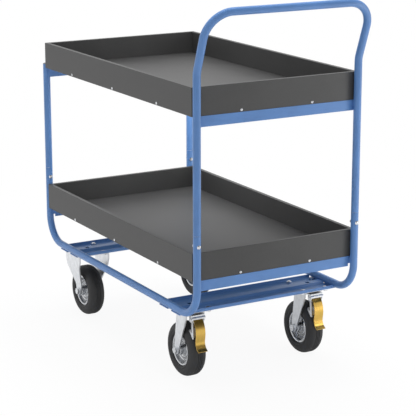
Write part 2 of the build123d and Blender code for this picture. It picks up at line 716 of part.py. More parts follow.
def make_casters():
    """Four casters, each at its corner under a cross member, and the bolts that hold them."""
    tyre = tyre_blank()
    rim = rim_blank()
    sleeve = axle_sleeve()
    axle = hex_bolt(AXLE_R, AXLE_FLATS, AXLE_HEAD_H, 2 * FORK_OUT + AXLE_NUT_H + AXLE_TIP)
    axle_nut = hex_nut(AXLE_R, AXLE_FLATS, AXLE_NUT_H)
    spots = {
        (end, side): (DECK_X + ENDS[end] * MEMBER_X, SIDES[side] * CASTER_Y) for end in ENDS for side in SIDES
    }
    hubs = {key: (x - TRAIL if key[0] == "rear" else x, y) for key, (x, y) in spots.items()}
    for (end, side), (x, y) in hubs.items():
        place(tyre, f"tyre_{end}_{side}", [(x, y, WHEEL_R)])
        place(rim, f"rim_{end}_{side}", [(x, y, WHEEL_R)])

    groups = {"fixed": [("front", "left"), ("front", "right")]}
    groups["left_swivel"] = [("rear", "left")]
    groups["right_swivel"] = [("rear", "right")]
    turn = (-90, 0, 0)
    for name, keys in groups.items():
        centres = [hubs[key] for key in keys]
        place(sleeve, f"{name}_axle_sleeve", [(x, y, WHEEL_R) for x, y in centres])
        place(axle, f"{name}_axle_bolt", [Location((x, y - FORK_OUT, WHEEL_R), turn) for x, y in centres])
        place(axle_nut, f"{name}_axle_nut", [Location((x, y + FORK_OUT, WHEEL_R), turn) for x, y in centres])

    fixed = fixed_fork()
    swivel_pieces = {
        "swivel_plate": swivel_plate(),
        "swivel_fork": swivel_fork(),
        "brake_pedal": brake_pedal(),
        "brake_arm": brake_arm(),
        "pedal_pin": pedal_pin(),
    }
    for side in SIDES:
        place(fixed, f"fixed_fork_{side}", [spots["front", side]])
        for name, blank in swivel_pieces.items():
            place(blank, f"{name}_{side}", [spots["rear", side]])
    place(king_pin(), "king_pins", [spots["rear", side] for side in SIDES])

    # The rows away from the handle have nuts on top, the other rows low heads on top and nuts below
    rows = {
        row: [
            (x + row * BOLT_GRID_X / 2, y + column * BOLT_GRID_Y / 2)
            for x, y in spots.values()
            for column in (-1, 1)
        ]
        for row in (-1, 1)
    }
    sheets = CASTER_T + MEMBER_T
    top_z = PLATE_Z + sheets
    upward = hex_bolt(M8_R, M8_FLATS, M8_HEAD_H, sheets + M8_NUT_H + BOLT_TIP)
    downward = dome_bolt(M8_R, LOW_HEAD_R, LOW_HEAD_H, sheets + M8_NUT_H)
    with BuildPart() as bolts:
        with Locations(*[(x, y, PLATE_Z) for x, y in rows[-1]]):
            add(upward.part)
        with Locations(*[(x, y, top_z) for x, y in rows[1]]):
            add(downward.part)
    save(bolts, "caster_bolts")
    nut_spots = [(x, y, top_z) for x, y in rows[-1]] + [(x, y, PLATE_Z - M8_NUT_H) for x, y in rows[1]]
    place(hex_nut(M8_R, M8_FLATS, M8_NUT_H), "caster_nuts", nut_spots)


make_trays()
make_frame_tubes()
make_end_angles()
make_cross_members()
make_casters()
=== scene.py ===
import math

import bmesh
import bpy
from bpy.props import FloatProperty, FloatVectorProperty, IntProperty, PointerProperty
from mathutils import Matrix, Vector


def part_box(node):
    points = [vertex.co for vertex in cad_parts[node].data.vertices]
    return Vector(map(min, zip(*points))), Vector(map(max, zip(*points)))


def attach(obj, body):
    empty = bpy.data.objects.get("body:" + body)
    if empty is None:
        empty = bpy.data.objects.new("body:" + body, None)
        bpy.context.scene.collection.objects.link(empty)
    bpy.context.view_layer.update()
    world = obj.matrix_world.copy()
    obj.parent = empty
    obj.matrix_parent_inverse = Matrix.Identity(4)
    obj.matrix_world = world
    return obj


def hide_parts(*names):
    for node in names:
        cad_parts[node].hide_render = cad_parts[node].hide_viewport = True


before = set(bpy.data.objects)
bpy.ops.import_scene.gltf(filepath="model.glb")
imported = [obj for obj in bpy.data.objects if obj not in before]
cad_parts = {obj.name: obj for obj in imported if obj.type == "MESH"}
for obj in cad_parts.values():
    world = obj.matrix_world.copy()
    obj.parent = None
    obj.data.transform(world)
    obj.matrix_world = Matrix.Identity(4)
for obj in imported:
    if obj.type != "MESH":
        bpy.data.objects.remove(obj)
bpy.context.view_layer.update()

bl_info = {
    "name": "Table Trolley Finisher",
    "version": (1, 0, 0),
    "blender": (4, 5, 0),
    "location": "View3D > Sidebar > Trolley",
    "description": "Dresses a table trolley: powder coat, laminate, zinc, tyres, rims, welds and studio",
    "category": "Object",
}

TIERS = ("lower", "upper")
SIDES = ("left", "right")
ENDS = ("front", "rear")
WHEELS = [f"{end}_{side}" for end in ENDS for side in SIDES]
WHITE = (1, 1, 1, 1)

# Radii of the pressed rims, in metres from the axle, for their shape and for the shade and highlights
# painted on them
BORE_RADIUS = 0.01005
HUB_RADIUS = 0.0160
RING_RADII = (0.0235, 0.0335)
DISH_RADIUS = 0.0400
LIP_RADIUS = 0.0414
GROOVE_RADIUS = 0.0440
TYRE_SEAT_RADIUS = 0.04295


def linear(hex_colour):
    """Turn an sRGB hex colour into linear red, green and blue."""
    parts = [int(hex_colour[i:i + 2], 16) / 255 for i in (1, 3, 5)]
    return [c / 12.92 if c <= 0.04045 else ((c + 0.055) / 1.055) ** 2.4 for c in parts]


def shade(colour, factor):
    """The same colour, lighter or darker, with alpha."""
    return [min(1.0, c * factor) for c in colour] + [1.0]


def add_node(tree, kind, inputs=None, **settings):
    """Add one node with its settings; an input is a plain value, or a socket that is linked."""
    node = tree.nodes.new(kind)
    for key, value in settings.items():
        setattr(node, key, value)
    for key, value in (inputs or {}).items():
        if isinstance(value, bpy.types.NodeSocket):
            tree.links.new(value, node.inputs[key])
        else:
            node.inputs[key].default_value = value
    return node


def add_noise(tree, vector, size, detail, distortion=0.0):
    """Noise with a grain of about the given size in metres."""
    inputs = {"Vector": vector, "Scale": 1 / size, "Detail": detail, "Distortion": distortion}
    return add_node(tree, "ShaderNodeTexNoise", inputs).outputs["Fac"]


def add_ramp(tree, value, *stops):
    """Colours at places between 0 and 1, in rising order."""
    node = add_node(tree, "ShaderNodeValToRGB", {"Fac": value})
    elements = node.color_ramp.elements
    first, *between, last = stops
    for element, (place, colour) in zip(elements, (first, last)):
        element.position = place
        element.color = colour
    for place, colour in between:
        elements.new(place).color = colour
    return node.outputs["Color"]


def add_range(tree, value, inputs, **settings):
    """Turn one range of values into another, from 0 to 1 where nothing else is given."""
    return add_node(tree, "ShaderNodeMapRange", {"Value": value, **inputs}, **settings).outputs["Result"]


def add_mix(tree, share, first, second, **settings):
    """Mix two colours."""
    inputs = {0: share, 6: first, 7: second}
    return add_node(tree, "ShaderNodeMix", inputs, data_type="RGBA", **settings).outputs[2]


def new_material(name):
    """An empty material with its surface shader and Object coordinates."""
    material = bpy.data.materials.new(name)
    material.use_nodes = True
    tree = material.node_tree
    tree.nodes.clear()
    shader = add_node(tree, "ShaderNodeBsdfPrincipled")
    add_node(tree, "ShaderNodeOutputMaterial", {"Surface": shader.outputs["BSDF"]})
    coords = add_node(tree, "ShaderNodeTexCoord").outputs["Object"]
    return material, tree, shader, coords


def surface(tree, shader, colour, sheen, relief):
    """Give a shader its colour, its sheen (value, least and most roughness) and its relief.

    The relief is a height with the strength and the depth in metres of its bump.
    """
    value, smooth, rough = sheen
    gloss = add_range(tree, value, {"To Min": smooth, "To Max": rough})
    height, strength, depth = relief
    bump = add_node(tree, "ShaderNodeBump", {"Height": height, "Strength": strength, "Distance": depth})
    tree.links.new(colour, shader.inputs["Base Color"])
    tree.links.new(gloss, shader.inputs["Roughness"])
    tree.links.new(bump.outputs["Normal"], shader.inputs["Normal"])


def powder_coat(colour):
    """Polyester powder coat, baked on: a satin skin with a fine orange peel and slight clouding."""
    material, tree, shader, coords = new_material("satin_powder_coat_blue")
    # Orange peel is about 1.5 mm across; it is drawn at 4 mm, because finer would not show
    peel = add_noise(tree, coords, size=0.004, detail=2.0)
    cloud = add_noise(tree, coords, size=0.09, detail=3.0)
    tint = add_ramp(tree, cloud, (0.3, shade(colour, 0.92)), (0.7, shade(colour, 1.06)))
    surface(tree, shader, tint, sheen=(peel, 0.30, 0.42), relief=(peel, 0.12, 0.0004))
    shader.inputs["IOR"].default_value = 1.5
    return material


def laminate(colour):
    """Melamine laminate pressed on board: matte dark grey with a pearl grain and soft wiped marks."""
    material, tree, shader, coords = new_material("matte_melamine_board_grey")
    # Pearl grain is about 1 mm; it is drawn at 3 mm so that it just shows
    pearl = add_noise(tree, coords, size=0.003, detail=3.0)
    wipe = add_noise(tree, coords, size=0.16, detail=4.0, distortion=0.6)
    both = add_node(tree, "ShaderNodeMix", {0: 0.35, 2: wipe, 3: pearl}, data_type="FLOAT").outputs[0]
    tint = add_ramp(tree, both, (0.35, shade(colour, 0.88)), (0.65, shade(colour, 1.10)))
    surface(tree, shader, tint, sheen=(both, 0.40, 0.54), relief=(pearl, 0.10, 0.0003))
    return material


def zinc_plate(name, colour, rough, lines_strength=0.04, dulling=1.0, shade_below=None):
    """Bright zinc on pressed steel: a pale metal with rolling lines and small dull patches.

    Below a height, where one is given, the colour is painted near black: painted shade on the ball race in
    the gap under the plate.
    """
    material, tree, shader, coords = new_material(name)
    # Rolling lines are about 1.5 mm apart and run up the pressed legs
    stretch = add_node(tree, "ShaderNodeMapping", {"Vector": coords, "Scale": (1.0, 1.0, 0.06)})
    lines = add_noise(tree, stretch.outputs["Vector"], size=0.0015, detail=2.0)
    patch = add_noise(tree, coords, size=0.014, detail=4.0)
    dull, bright = shade(colour, 1 - 0.12 * dulling), shade(colour, 1 + 0.04 * dulling)
    tint = add_ramp(tree, patch, (0.32, dull), (0.68, bright))
    if shade_below is not None:
        edge = 0.0008
        height = add_node(tree, "ShaderNodeSeparateXYZ", {"Vector": coords}).outputs["Z"]
        unshaded = add_range(tree, height, {"From Min": shade_below - edge, "From Max": shade_below})
        # Painted shade: below the height the colour falls to a tenth
        tint = add_mix(tree, unshaded, shade(colour, 0.10), tint)
    sheen = (patch, rough - 0.07 * dulling, rough + 0.09 * dulling)
    surface(tree, shader, tint, sheen, relief=(lines, lines_strength, 0.0002))
    shader.inputs["Metallic"].default_value = 1.0
    return material


def paint_valley_shade(material, middle, reach, axle_z):
    """Painted shade darkens the valleys of the pressed rims, and a painted highlight keeps the crests of
    their rings bright.

    The front and rear axles lie equally far from the middle, so one radius serves all four rims.
    """
    tree = material.node_tree
    coords = next(n for n in tree.nodes if n.type == "TEX_COORD").outputs["Object"]
    shader = next(n for n in tree.nodes if n.type == "BSDF_PRINCIPLED")
    plate = shader.inputs["Base Color"].links[0].from_socket
    away = coords
    for operation, vector in (
        ("SUBTRACT", (middle, 0, axle_z)),
        ("ABSOLUTE", (0, 0, 0)),
        ("SUBTRACT", (reach, 0, 0)),
        ("MULTIPLY", (1, 0, 1)),
    ):
        step = add_node(tree, "ShaderNodeVectorMath", {0: away, 1: vector}, operation=operation)
        away = step.outputs["Vector"]
    radius = add_node(tree, "ShaderNodeVectorMath", {0: away}, operation="LENGTH").outputs["Value"]
    # Painted highlight on hub, rings, lip and flange, painted shade between them; the ramp runs from the
    # axle to a little past the flange
    end = 0.05
    inner, outer = RING_RADII
    brightness = (
        (HUB_RADIUS - 0.0005, 1.0),
        (HUB_RADIUS + 0.0008, 0.5),
        (inner - 0.0030, 0.4),
        (inner, 1.0),
        (inner + 0.0029, 0.35),
        (outer - 0.0029, 0.35),
        (outer, 1.0),
        (outer + 0.0029, 0.3),
        (DISH_RADIUS - 0.0002, 0.3),
        (LIP_RADIUS, 1.0),
        (GROOVE_RADIUS, 0.6),
        (GROOVE_RADIUS + 0.0022, 1.0),
    )
    stops = [(place / end, shade((1, 1, 1), bright)) for place, bright in brightness]
    valley_shade = add_ramp(tree, add_range(tree, radius, {"From Max": end}), *stops)
    # The painted shade and highlight multiply the zinc's colour
    valley_shaded = add_mix(tree, 1.0, plate, valley_shade, blend_type="MULTIPLY")
    tree.links.new(valley_shaded, shader.inputs["Base Color"])


def yellow_passivate(colour, pivot_z):
    """Yellow passivated zinc: a golden metal with streaks in its film, with painted shade at the top below
    the pivot.
    """
    material, tree, shader, coords = new_material("yellow_passivated_steel")
    # Streaks run down the strip as it drained, about 5 mm apart
    drain = add_node(tree, "ShaderNodeMapping", {"Vector": coords, "Scale": (1.0, 1.0, 0.2)})
    film = add_noise(tree, drain.outputs["Vector"], size=0.005, detail=3.0)
    red, green, blue = colour
    tint = add_ramp(
        tree,
        film,
        (0.30, shade([red * 0.93, green * 0.99, blue * 0.95], 0.94)),
        (0.50, shade(colour, 1.0)),
        (0.72, shade([red, green * 0.95, blue * 1.08], 1.01)),
    )
    # Painted shade darkens the strip under the pivot and fades out between 10 and 26 mm below it
    height = add_node(tree, "ShaderNodeSeparateXYZ", {"Vector": coords}).outputs["Z"]
    top_shade = add_range(tree, height, {"From Min": pivot_z - 0.026, "From Max": pivot_z - 0.010})
    top_shaded = add_mix(tree, top_shade, tint, shade(colour, 0.36))
    surface(tree, shader, top_shaded, sheen=(film, 0.18, 0.28), relief=(film, 0.08, 0.0003))
    shader.inputs["Metallic"].default_value = 1.0
    return material


def tyre_rubber(colour):
    """Moulded solid rubber: near black, dull, with a faint bloom and a fine mould grain."""
    material, tree, shader, coords = new_material("moulded_black_rubber")
    # Mould grain is about 0.7 mm; it is drawn at 2.5 mm so that it just shows
    grain = add_noise(tree, coords, size=0.0025, detail=3.0)
    bloom = add_noise(tree, coords, size=0.03, detail=4.0)
    tint = add_ramp(tree, bloom, (0.3, shade(colour, 0.85)), (0.7, shade(colour, 1.18)))
    surface(tree, shader, tint, sheen=(bloom, 0.55, 0.70), relief=(grain, 0.15, 0.0004))
    return material


def moulded_cap(colour):
    """Moulded polyethylene: grey, waxy and slightly mottled."""
    material, tree, shader, coords = new_material("moulded_polyethylene_grey")
    mottle = add_noise(tree, coords, size=0.004, detail=2.0)
    tint = add_ramp(tree, mottle, (0.0, shade(colour, 0.92)), (1.0, shade(colour, 1.08)))
    tree.links.new(tint, shader.inputs["Base Color"])
    shader.inputs["Roughness"].default_value = 0.5
    return material


def dress(material, nodes):
    """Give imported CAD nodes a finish."""
    for name in nodes:
        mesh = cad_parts[name].data
        mesh.materials.clear()
        mesh.materials.append(material)


def middle_of(node):
    """Centre of a CAD node's box."""
    low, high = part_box(node)
    return (low + high) / 2


def new_object(name, data):
    """Put a new object into the scene."""
    thing = bpy.data.objects.new(name, data)
    bpy.context.scene.collection.objects.link(thing)
    return thing


def mesh_from(name, bm, material):
    """Turn a bmesh into a mesh with one material."""
    mesh = bpy.data.meshes.new(name)
    bm.to_mesh(mesh)
    bm.free()
    mesh.materials.append(material)
    return mesh


def finish_piece(name, bm, material, body, replaced=(), sharp=32):
    """Turn a finished bmesh into a piece that rides on a body and may stand for CAD nodes."""
    bmesh.ops.remove_doubles(bm, verts=bm.verts[:], dist=1e-6)
    bmesh.ops.recalc_face_normals(bm, faces=bm.faces[:])
    for face in bm.faces:
        face.smooth = True
    mesh = mesh_from(name, bm, material)
    mesh.set_sharp_from_angle(angle=math.radians(sharp))
    piece = new_object(name, mesh)
    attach(piece, body)
    if replaced:
        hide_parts(*replaced)


def verts_of(geometry):
    """The vertices among some geometry."""
    return [g for g in geometry if isinstance(g, bmesh.types.BMVert)]


def grown(bm, face):
    """Extrude a face where it lies and return the new one."""
    geometry = bmesh.ops.extrude_face_region(bm, geom=[face])["geom"]
    return next(g for g in geometry if isinstance(g, bmesh.types.BMFace))


def facing(direction):
    """Matrix that turns a piece's Z axis into a direction."""
    return Vector(direction).to_track_quat("Z", "Y").to_matrix().to_4x4()


def turned(outline, roundings, steps):
    """Spin a closed outline of (radius, place along the axle) about Y; roundings give corner radii."""
    bm = bmesh.new()
    corners = [bm.verts.new((radius, along, 0.0)) for radius, along in outline]
    bm.faces.new(corners)
    for picked, radius, segments in roundings:
        bmesh.ops.bevel(
            bm,
            geom=[corners[i] for i in picked],
            offset=radius,
            offset_type="OFFSET",
            segments=segments,
            profile=0.5,
            affect="VERTICES",
            material=-1,
            clamp_overlap=True,
        )
    bmesh.ops.delete(bm, geom=bm.faces[:], context="FACES_ONLY")
    bmesh.ops.spin(
        bm,
        geom=bm.verts[:] + bm.edges[:],
        cent=(0, 0, 0),
        axis=(0, 1, 0),
        angle=math.tau,
        steps=steps,
        use_merge=True,
        use_duplicate=False,
    )
    return bm


def mirrored(half, roundings):
    """Complete an outline, and the corners of its roundings, from the positive side of the wheel."""
    whole = list(half) + [(radius, -along) for radius, along in reversed(half)]
    last = len(whole) - 1
    both = [(picked + tuple(last - i for i in picked), *rest) for picked, *rest in roundings]
    return whole, both


class TrolleyFinishes(bpy.types.PropertyGroup):
    frame_blue: FloatVectorProperty(
        name="Frame blue", description="Powder coat of tubes, angles and cross members",
        subtype="COLOR", size=3, min=0, max=1, default=linear("#5e8bc8"),
    )
    board_grey: FloatVectorProperty(
        name="Board grey", description="Laminate of the tray boards",
        subtype="COLOR", size=3, min=0, max=1, default=linear("#444444"),
    )
    zinc: FloatVectorProperty(
        name="Zinc", description="Plate on forks, rims, bolts and screws",
        subtype="COLOR", size=3, min=0, max=1, default=linear("#e2e4e7"),
    )
    pedal_yellow: FloatVectorProperty(
        name="Pedal yellow", description="Passivate on the brake pedals",
        subtype="COLOR", size=3, min=0, max=1, default=linear("#d8b25c"),
    )
    rubber: FloatVectorProperty(
        name="Rubber", description="Solid tyres",
        subtype="COLOR", size=3, min=0, max=1, default=linear("#303031"),
    )
    cap_grey: FloatVectorProperty(
        name="Cap grey", description="Caps on the front uprights and seals on the hubs",
        subtype="COLOR", size=3, min=0, max=1, default=linear("#6c7075"),
    )


class TrolleySizes(bpy.types.PropertyGroup):
    groove_depth: FloatProperty(
        name="Groove depth", description="Depth of the tread grooves", unit="LENGTH", default=0.0014,
    )
    groove_width: FloatProperty(
        name="Groove width", description="Width of the tread grooves", unit="LENGTH", default=0.0018,
    )
    groove_pitch: FloatProperty(
        name="Groove pitch", description="Distance between tread grooves", unit="LENGTH", default=0.0055,
    )
    shoulder: FloatProperty(
        name="Shoulder", description="Radius of the tyre's shoulder", unit="LENGTH", default=0.0185,
    )
    foot: FloatProperty(
        name="Foot", description="Radius of the tyre wall where it meets the rim",
        unit="LENGTH", default=0.008,
    )
    wheel_steps: IntProperty(
        name="Wheel steps", description="Steps of a full turn of tyre and rim",
        default=96, min=24, max=256,
    )
    weld_radius: FloatProperty(
        name="Weld radius", description="Half the width of a weld bead", unit="LENGTH", default=0.0026,
    )
    weld_pitch: FloatProperty(
        name="Weld pitch", description="Distance between the ripples of a weld",
        unit="LENGTH", default=0.0021,
    )
    side_screw_pitch: FloatProperty(
        name="Side screw pitch", description="Distance between screws on a long side",
        unit="LENGTH", default=0.275,
    )
    end_screw_pitch: FloatProperty(
        name="End screw pitch", description="Distance between screws on an end",
        unit="LENGTH", default=0.230,
    )
    screw_radius: FloatProperty(
        name="Screw radius", description="Radius of a tray screw's head", unit="LENGTH", default=0.004,
    )


class TrolleyStage(bpy.types.PropertyGroup):
    floor_size: FloatProperty(
        name="Floor size", description="Half the width of the floor", unit="LENGTH", default=40.0,
    )
    ambient: FloatProperty(
        name="Ambient", description="Strength of the white room on the object", default=0.5, min=0,
    )
    flag: FloatProperty(
        name="Flag", description="Grey of the flag over the handle end, where metal shows it",
        default=0.25, min=0, max=1,
    )
    key_power: FloatProperty(
        name="Key power", description="Strip light near the right rear post",
        unit="POWER", default=3.0, min=0,
    )
    top_power: FloatProperty(
        name="Top power", description="Softbox overhead", unit="POWER", default=170.0, min=0,
    )
    tray_power: FloatProperty(
        name="Tray power", description="Small softbox over the upper tray that lights its far walls",
        unit="POWER", default=0.28, min=0,
    )
    upper_fill: FloatProperty(
        name="Upper fill", description="Soft panel under the upper tray",
        unit="POWER", default=2.55, min=0,
    )
    lower_fill: FloatProperty(
        name="Lower fill", description="Soft panel under the lower tray",
        unit="POWER", default=0.3, min=0,
    )
    floor_glow: FloatProperty(
        name="Floor glow", description="Share of plain white in the floor as seen",
        subtype="FACTOR", default=0.93, min=0, max=1,
    )
    mirror_glow: FloatProperty(
        name="Mirror glow", description="Share of plain white in the floor as metal shows it",
        subtype="FACTOR", default=0.4, min=0, max=1,
    )
    lens: FloatProperty(
        name="Lens", description="Focal length of the camera", unit="CAMERA", default=134.15, min=1,
    )
    azimuth: FloatProperty(
        name="Azimuth", description="Turn of the camera about the trolley",
        subtype="ANGLE", default=math.radians(60.083),
    )
    elevation: FloatProperty(
        name="Elevation", description="Height of the camera over the horizon",
        subtype="ANGLE", default=math.radians(14.359),
    )
    camera_place: FloatVectorProperty(
        name="Camera place", description="Where the camera stands",
        subtype="TRANSLATION", size=3, default=(3.99268, -2.25939, 1.58086),
    )


class TrolleySettings(bpy.types.PropertyGroup):
    finishes: PointerProperty(type=TrolleyFinishes)
    sizes: PointerProperty(type=TrolleySizes)
    stage: PointerProperty(type=TrolleyStage)


class TROLLEY_OT_coat_frame(bpy.types.Operator):
    """Powder-coat the tubes, angles and cross members and cap the uprights"""

    bl_idname = "trolley.coat_frame"
    bl_label = "Coat Frame"

    def execute(self, context):
        finishes = context.scene.trolley.finishes
        tubes = [f"{kind}_{side}" for kind in ("side_tube", "front_upright") for side in SIDES]
        angles = [f"{tier}_angle_{end}" for tier in TIERS for end in ENDS]
        members = [f"cross_member_{end}" for end in ENDS]
        dress(powder_coat(finishes.frame_blue), tubes + angles + members + ["push_handle"])
        dress(moulded_cap(finishes.cap_grey), ["upright_caps"])
        return {"FINISHED"}


class TROLLEY_OT_lay_welds(bpy.types.Operator):
    """Lay rippled weld beads where angles meet posts and cross members meet the side tubes"""

    bl_idname = "trolley.lay_welds"
    bl_label = "Lay Welds"

    # The middle of a bead lies this far off the sheet, and this far inside the tube's middle line
    proud = 0.0016
    inside = 0.0066

    def execute(self, context):
        sizes = context.scene.trolley.sizes
        bm = bmesh.new()
        for start, stop in self.angle_runs() + self.member_runs():
            self.lay_bead(bm, start, stop, sizes.weld_radius, sizes.weld_pitch)
        coat = bpy.data.materials["satin_powder_coat_blue"]
        finish_piece("weld_beads", bm, coat, "frame", sharp=60)
        return {"FINISHED"}

    def angle_runs(self):
        """Upright runs where the ends of the angles meet the posts."""
        foot_gap, top_gap = 0.012, 0.003
        runs = []
        for tier in TIERS:
            for end in ENDS:
                low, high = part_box(f"{tier}_angle_{end}")
                x = high.x + self.proud if end == "rear" else low.x - self.proud
                for side in (-1, 1):
                    y = side * (high.y - self.inside)
                    runs.append((Vector((x, y, low.z + foot_gap)), Vector((x, y, high.z - top_gap))))
        return runs

    def member_runs(self):
        """Level runs where the cross members' tongues meet the side tubes."""
        sheet, near, far = 0.0025, 0.014, 0.056
        tube_y = abs(middle_of("side_tube_left").y)
        runs = []
        for end in ENDS:
            low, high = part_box(f"cross_member_{end}")
            middle = (low.x + high.x) / 2
            z = low.z + sheet + self.proud
            for side in (-1, 1):
                y = side * (tube_y - self.inside)
                for row in (-1, 1):
                    runs.append((Vector((middle + row * near, y, z)), Vector((middle + row * far, y, z))))
        return runs

    def lay_bead(self, bm, start, stop, radius, pitch):
        """One bead: a round rod with blunt ends whose radius swells at each ripple."""
        crest, valley, blunt = 1.0, 0.91, 0.6
        steps = 2 * max(2, round((stop - start).length / pitch))
        seat = Matrix.Translation(start) @ facing(stop - start)
        size = blunt
        ring = bmesh.ops.create_circle(bm, cap_ends=True, segments=12, radius=radius * size, matrix=seat)
        tip = ring["verts"][0].link_faces[0]
        for step in range(1, steps + 1):
            tip = grown(bm, tip)
            swelled = blunt if step == steps else crest if step % 2 else valley
            here = start.lerp(stop, (step - 1) / steps)
            there = start.lerp(stop, step / steps)
            swell = Matrix.Scale(swelled / size, 4)
            move = Matrix.Translation(there) @ swell @ Matrix.Translation(-here)
            bmesh.ops.transform(bm, matrix=move, verts=list(tip.verts))
            size = swelled


class TROLLEY_OT_face_trays(bpy.types.Operator):
    """Face the tray boards with laminate"""

    bl_idname = "trolley.face_trays"
    bl_label = "Face Trays"

    def execute(self, context):
        finishes = context.scene.trolley.finishes
        boards = []
        for tier in TIERS:
            boards.append(f"{tier}_floor")
            boards += [f"{tier}_side_{side}" for side in SIDES]
            boards += [f"{tier}_end_{end}" for end in ENDS]
        dress(laminate(finishes.board_grey), boards)
        return {"FINISHED"}


class TROLLEY_OT_plate_steel(bpy.types.Operator):
    """Zinc-plate the caster forks, plates, axles, bolts and nuts"""

    bl_idname = "trolley.plate_steel"
    bl_label = "Plate Steel"

    def execute(self, context):
        zinc = context.scene.trolley.finishes.zinc
        pressings = []
        for kind in ("fixed_fork", "swivel_fork", "brake_arm"):
            pressings += [f"{kind}_{side}" for side in SIDES]
        dress(zinc_plate("bright_zinc_pressing", zinc, rough=0.36), pressings)
        # The caster nuts seat on the underside of the plates, and the race hangs below it
        nut_height = 0.0065
        plate_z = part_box("caster_nuts")[0].z + nut_height
        # The race below the plates' underside gets a painted shade, nearly black
        shaded_race_zinc = zinc_plate("bright_zinc_plate_shaded_race", zinc, rough=0.36, shade_below=plate_z)
        dress(shaded_race_zinc, [f"swivel_plate_{side}" for side in SIDES])
        bolts = ["tray_screws", "deck_screws", "joint_bolts", "joint_nuts", "caster_bolts", "caster_nuts"]
        bolts += ["tube_spigots", "king_pins", "pedal_pin_left", "pedal_pin_right"]
        for group in ("fixed", "left_swivel", "right_swivel"):
            bolts += [f"{group}_axle_{kind}" for kind in ("bolt", "nut", "sleeve")]
        dress(zinc_plate("bright_zinc_bolt", zinc, rough=0.27), bolts)
        return {"FINISHED"}


class TROLLEY_OT_drive_screws(bpy.types.Operator):
    """Drive the tray screws: dome heads with a six-lobe socket"""

    bl_idname = "trolley.drive_screws"
    bl_label = "Drive Screws"

    def execute(self, context):
        sizes = context.scene.trolley.sizes
        seats = []
        for tier in TIERS:
            middle = middle_of(f"{tier}_floor")
            for side, away in zip(SIDES, (-1, 1)):
                low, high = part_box(f"{tier}_side_{side}")
                y = high.y if away > 0 else low.y
                for step in (-1, 0, 1):
                    seats.append(((middle.x + step * sizes.side_screw_pitch, y, middle.z), (0, away, 0)))
            for end, away in zip(ENDS, (-1, 1)):
                low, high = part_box(f"{tier}_end_{end}")
                x = high.x if away > 0 else low.x
                for step in (-0.5, 0.5):
                    seats.append(((x, step * sizes.end_screw_pitch, middle.z), (away, 0, 0)))
        bm = bmesh.new()
        master = self.head(bm, sizes.screw_radius)
        for place, away in seats:
            copy = bmesh.ops.duplicate(bm, geom=master)["geom"]
            seat = Matrix.Translation(place) @ facing(away)
            bmesh.ops.transform(bm, matrix=seat, verts=verts_of(copy))
        bmesh.ops.delete(bm, geom=verts_of(master), context="VERTS")
        steel = bpy.data.materials["bright_zinc_bolt"]
        finish_piece("tray_screw_heads", bm, steel, "frame", ["tray_screws"], sharp=40)
        return {"FINISHED"}

    def head(self, bm, radius):
        """One dome head that faces up, with the socket pressed in; its steps are shares of the radius."""
        edge = 0.14
        dome = ((0.14, 0.17), (0.20, 0.12), (0.16, 0.04), (0.04, 0.0))
        lobes = (1.0, 0.9, 0.78, 0.9)
        draft, socket = 0.05, 0.34
        ring = bmesh.ops.create_circle(bm, cap_ends=True, segments=24, radius=radius)["verts"]
        top = grown(bm, ring[0].link_faces[0])
        bmesh.ops.translate(bm, verts=list(top.verts), vec=(0, 0, radius * edge))
        for inwards, rise in dome:
            bmesh.ops.inset_region(bm, faces=[top], thickness=radius * inwards, depth=radius * rise)
        for i, vert in enumerate(top.verts):
            vert.co.x *= lobes[i % len(lobes)]
            vert.co.y *= lobes[i % len(lobes)]
        bmesh.ops.inset_region(bm, faces=[top], thickness=radius * draft, depth=-radius * socket)
        return bm.verts[:] + bm.edges[:] + bm.faces[:]


class TROLLEY_OT_finish_pedals(bpy.types.Operator):
    """Passivate the brake pedals yellow"""

    bl_idname = "trolley.finish_pedals"
    bl_label = "Finish Pedals"

    def execute(self, context):
        finishes = context.scene.trolley.finishes
        # The pivot's height sets where the painted shade lies at the top of the pedals
        passivate = yellow_passivate(finishes.pedal_yellow, middle_of("pedal_pin_left").z)
        dress(passivate, [f"brake_pedal_{side}" for side in SIDES])
        return {"FINISHED"}


class TROLLEY_OT_mould_tyres(bpy.types.Operator):
    """Mould the solid tyres: ribbed tread, round shoulders and a ring on the wall"""

    bl_idname = "trolley.mould_tyres"
    bl_label = "Mould Tyres"

    def execute(self, context):
        sizes = context.scene.trolley.sizes
        rubber = tyre_rubber(context.scene.trolley.finishes.rubber)
        for wheel in WHEELS:
            node = f"tyre_{wheel}"
            outline, roundings = mirrored(*self.half_section(node, sizes))
            bm = turned(outline, roundings, sizes.wheel_steps)
            bmesh.ops.translate(bm, verts=bm.verts[:], vec=middle_of(node))
            finish_piece(node + "_moulded", bm, rubber, f"wheel_{wheel}", [node])
        return {"FINISHED"}

    def half_section(self, node, sizes):
        """Half the tyre's section from the middle of the tread to its tongue, with its roundings."""
        height, tongue_depth, tongue_gap = 0.0325, 0.0044, 0.0002
        low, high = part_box(node)
        tread = (high.z - low.z) / 2
        wall = (high.y - low.y) / 2
        seat = tread - height
        deep = tread - sizes.groove_depth
        gap = sizes.groove_width / 2
        pitch = sizes.groove_pitch
        ring_low, ring_high = seat + 0.0090, seat + 0.0115
        ring_depth, ring_flank = 0.0007, 0.0005
        tongue = wall - sizes.foot - tongue_gap
        half = [
            (deep, gap),
            (tread, gap),
            (tread, pitch - gap),
            (deep, pitch - gap),
            (deep, pitch + gap),
            (tread, pitch + gap),
            (tread, wall),
            (ring_high, wall),
            (ring_high - ring_flank, wall - ring_depth),
            (ring_low + ring_flank, wall - ring_depth),
            (ring_low, wall),
            (seat, wall),
            (seat, tongue),
            (seat - tongue_depth, tongue),
        ]
        shoulder, foot = half.index((tread, wall)), half.index((seat, wall))
        return half, [((shoulder,), sizes.shoulder, 12), ((foot,), sizes.foot, 7)]


